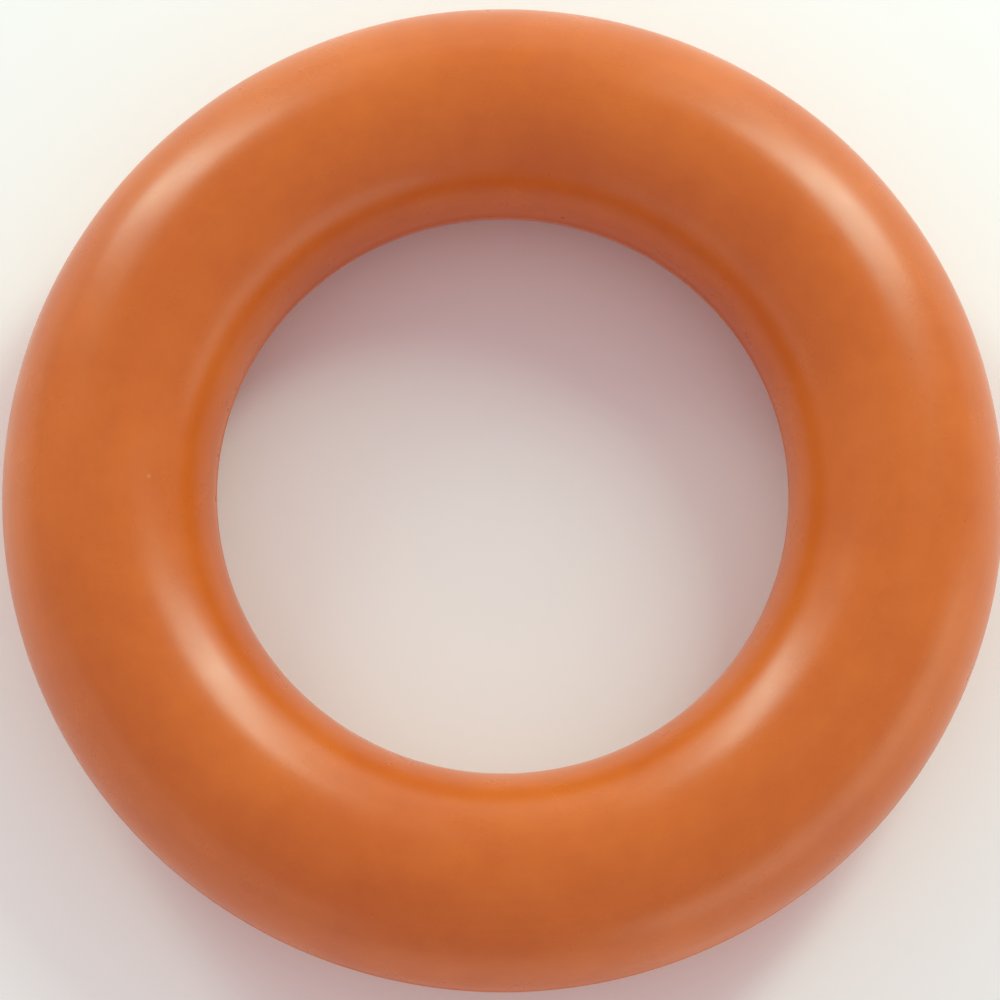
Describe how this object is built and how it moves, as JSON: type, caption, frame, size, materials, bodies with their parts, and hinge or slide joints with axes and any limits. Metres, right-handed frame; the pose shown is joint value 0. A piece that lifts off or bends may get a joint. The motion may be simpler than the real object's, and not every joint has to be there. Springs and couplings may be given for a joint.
{
  "type": "flying ring",
  "caption": "Hollow air-filled rubber throwing ring: two moulded half-tubes lapped and cemented at both equators, with a needle valve recessed in the underside.",
  "frame": {"origin": "centre of the ring, on its axis and halfway through its thickness", "axes": "+Z along the ring's axis, out of its front face; +X towards the inflation valve, which opens on the back face"},
  "size_m": [0.17, 0.17, 0.0364],
  "materials": {
    "ring_rubber": "satin",
    "seam_cement": "satin",
    "valve_rubber": "satin",
    "core_rubber": "satin"
  },
  "bodies": {
    "root": {"front_shell": "ring_rubber", "back_shell": "ring_rubber", "outer_seam_bond": "seam_cement", "inner_seam_bond": "seam_cement", "valve_bond": "seam_cement", "valve_body": "valve_rubber", "valve_core": "core_rubber"}
  },
  "joints": []
}
